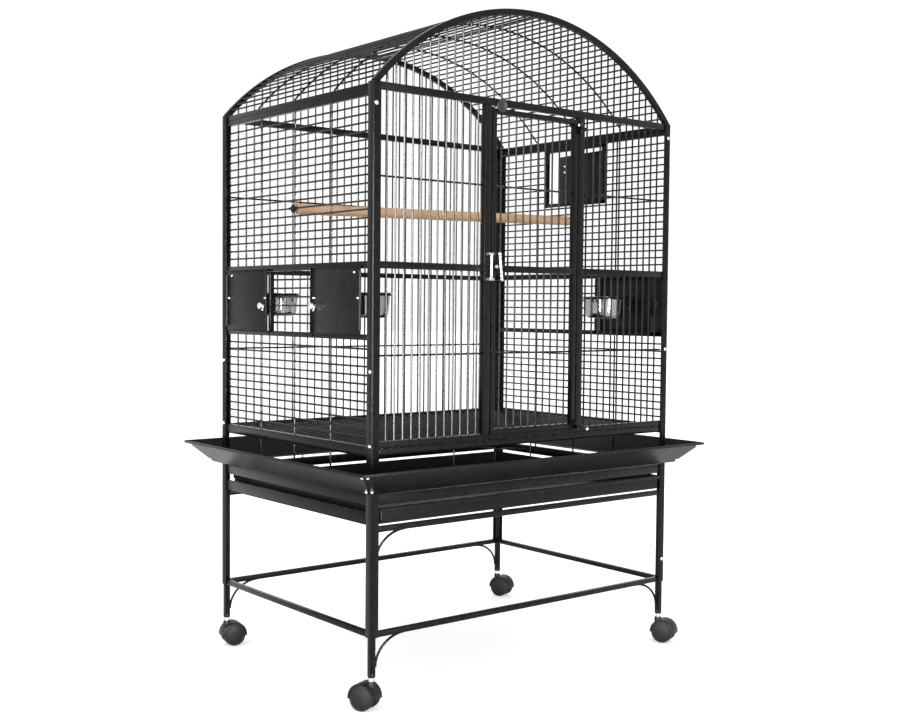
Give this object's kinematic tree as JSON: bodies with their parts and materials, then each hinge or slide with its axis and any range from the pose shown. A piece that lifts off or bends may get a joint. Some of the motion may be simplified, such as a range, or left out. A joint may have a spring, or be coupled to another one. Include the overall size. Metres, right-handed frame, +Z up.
{
  "type": "bird cage on stand",
  "caption": "Dome-top parrot cage on a rolling stand, with a hinged front door, swing-out feeder doors, a nest door, seed guards, a pull-out grate and a tray.",
  "frame": {"origin": "on the floor, under the centre of the cage", "axes": "+X to the right seen from the door side, +Y to the back, +Z up"},
  "size_m": [1.052, 0.782, 1.522],
  "materials": {
    "coat": "fine textured charcoal powder coat, satin",
    "plate": "powder-coated sheet, satin",
    "stainless": "pressed stainless steel, polished",
    "chrome": "bright nickel plate",
    "hardware": "zinc plate",
    "wood": "plain sanded dowel",
    "caster_plastic": "moulded black nylon",
    "tread": "black nylon wheel"
  },
  "bodies": {
    "frame": {"corner_angle_fl": "coat", "corner_angle_fr": "coat", "corner_angle_bl": "coat", "corner_angle_br": "coat", "stand_side_left": "coat", "stand_side_right": "coat", "lower_rail_front": "coat", "lower_rail_back": "coat", "upper_rail_front": "coat", "upper_rail_back": "coat", "base_bar_front": "coat", "base_bar_back": "coat", "side_left_upper": "coat", "side_left_band": "coat", "side_left_lower": "coat", "side_right_upper": "coat", "side_right_band": "coat", "side_right_lower": "coat", "front_sill": "coat", "front_wing_left": "coat", "front_wing_right": "coat", "back_panel": "coat", "arch_front": "coat", "arch_back": "coat", "dome_left": "coat", "dome_crown": "coat", "dome_right": "coat", "ridge_bar": "coat", "latch_keeper": "chrome", "perch": "wood", "guard_front": "coat", "guard_back": "coat", "guard_left": "coat", "guard_right": "coat"},
    "main_door": {"main_door": "coat", "door_stop": "plate"},
    "latch": {"latch_handle": "chrome"},
    "feeder_lf": {"feeder_door_lf": "plate", "bowl_ring_lf": "coat"},
    "knob_lf": {"feeder_knob_lf": "hardware"},
    "bowl_lf": {"bowl_lf": "stainless"},
    "feeder_lb": {"feeder_door_lb": "plate", "bowl_ring_lb": "coat"},
    "knob_lb": {"feeder_knob_lb": "hardware"},
    "bowl_lb": {"bowl_lb": "stainless"},
    "feeder_rf": {"feeder_door_rf": "plate", "bowl_ring_rf": "coat"},
    "knob_rf": {"feeder_knob_rf": "hardware"},
    "bowl_rf": {"bowl_rf": "stainless"},
    "nest_door": {"nest_door": "plate"},
    "floor_grate": {"floor_grate": "coat"},
    "tray": {"tray": "plate"},
    "caster_fl": {"caster_fork_fl": "caster_plastic"},
    "wheels_fl": {"caster_wheels_fl": "tread"},
    "caster_bl": {"caster_fork_bl": "caster_plastic"},
    "wheels_bl": {"caster_wheels_bl": "tread"},
    "caster_fr": {"caster_fork_fr": "caster_plastic"},
    "wheels_fr": {"caster_wheels_fr": "tread"},
    "caster_br": {"caster_fork_br": "caster_plastic"},
    "wheels_br": {"caster_wheels_br": "tread"}
  },
  "joints": [
    {"name": "main_door_hinge", "type": "hinge", "parent": "frame", "child": "main_door", "pos_m": [0.137, -0.328, 0.93], "axis": [0, 0, 1], "range_deg": [0, 120]},
    {"name": "latch_turn", "type": "hinge", "parent": "main_door", "child": "latch", "pos_m": [-0.12, -0.332, 0.939], "axis": [0, 1, 0], "range_deg": [0, 90]},
    {"name": "feeder_lf_hinge", "type": "hinge", "parent": "frame", "child": "feeder_lf", "pos_m": [-0.461, -0.282, 0.86], "axis": [0, 0, 1], "range_deg": [0, 110]},
    {"name": "knob_lf_turn", "type": "hinge", "parent": "feeder_lf", "child": "knob_lf", "pos_m": [-0.465, -0.106, 0.848], "axis": [-1, 0, 0], "range_deg": [0, 90]},
    {"name": "bowl_lf_lift", "type": "slide", "parent": "feeder_lf", "child": "bowl_lf", "axis": [0, 0, 1], "range_m": [0, 0.04]},
    {"name": "feeder_lb_hinge", "type": "hinge", "parent": "frame", "child": "feeder_lb", "pos_m": [-0.461, 0.29, 0.86], "axis": [0, 0, -1], "range_deg": [0, 110]},
    {"name": "knob_lb_turn", "type": "hinge", "parent": "feeder_lb", "child": "knob_lb", "pos_m": [-0.465, 0.114, 0.848], "axis": [-1, 0, 0], "range_deg": [0, 90]},
    {"name": "bowl_lb_lift", "type": "slide", "parent": "feeder_lb", "child": "bowl_lb", "axis": [0, 0, 1], "range_m": [0, 0.04]},
    {"name": "feeder_rf_hinge", "type": "hinge", "parent": "frame", "child": "feeder_rf", "pos_m": [0.461, -0.272, 0.86], "axis": [0, 0, -1], "range_deg": [0, 110]},
    {"name": "knob_rf_turn", "type": "hinge", "parent": "feeder_rf", "child": "knob_rf", "pos_m": [0.465, -0.096, 0.848], "axis": [1, 0, 0], "range_deg": [0, 90]},
    {"name": "bowl_rf_lift", "type": "slide", "parent": "feeder_rf", "child": "bowl_rf", "axis": [0, 0, 1], "range_m": [0, 0.04]},
    {"name": "nest_door_hinge", "type": "hinge", "parent": "frame", "child": "nest_door", "pos_m": [0.463, -0.092, 1.204], "axis": [0, 0, -1], "range_deg": [-8, 95]},
    {"name": "grate_slide", "type": "slide", "parent": "frame", "child": "floor_grate", "axis": [0, -1, 0], "range_m": [0, 0.55]},
    {"name": "tray_slide", "type": "slide", "parent": "frame", "child": "tray", "axis": [0, -1, 0], "range_m": [0, 0.55]},
    {"name": "caster_fl_swivel", "type": "hinge", "parent": "frame", "child": "caster_fl", "pos_m": [-0.4482, -0.3132, 0.064], "axis": [0, 0, 1], "continuous": true},
    {"name": "wheels_fl_roll", "type": "hinge", "parent": "caster_fl", "child": "wheels_fl", "pos_m": [-0.45419, -0.29837, 0.027], "axis": [-0.9272, -0.3746, 0], "continuous": true},
    {"name": "caster_bl_swivel", "type": "hinge", "parent": "frame", "child": "caster_bl", "pos_m": [-0.4482, 0.3132, 0.064], "axis": [0, 0, 1], "continuous": true},
    {"name": "wheels_bl_roll", "type": "hinge", "parent": "caster_bl", "child": "wheels_bl", "pos_m": [-0.43255, 0.30987, 0.027], "axis": [0.2079, 0.9781, 0], "continuous": true},
    {"name": "caster_fr_swivel", "type": "hinge", "parent": "frame", "child": "caster_fr", "pos_m": [0.4482, -0.3132, 0.064], "axis": [0, 0, 1], "continuous": true},
    {"name": "wheels_fr_roll", "type": "hinge", "parent": "caster_fr", "child": "wheels_fr", "pos_m": [0.45419, -0.32803, 0.027], "axis": [0.9272, 0.3746, 0], "continuous": true},
    {"name": "caster_br_swivel", "type": "hinge", "parent": "frame", "child": "caster_br", "pos_m": [0.4482, 0.3132, 0.064], "axis": [0, 0, 1], "continuous": true},
    {"name": "wheels_br_roll", "type": "hinge", "parent": "caster_br", "child": "wheels_br", "pos_m": [0.45314, 0.29798, 0.027], "axis": [0.9511, 0.309, 0], "continuous": true}
  ]
}
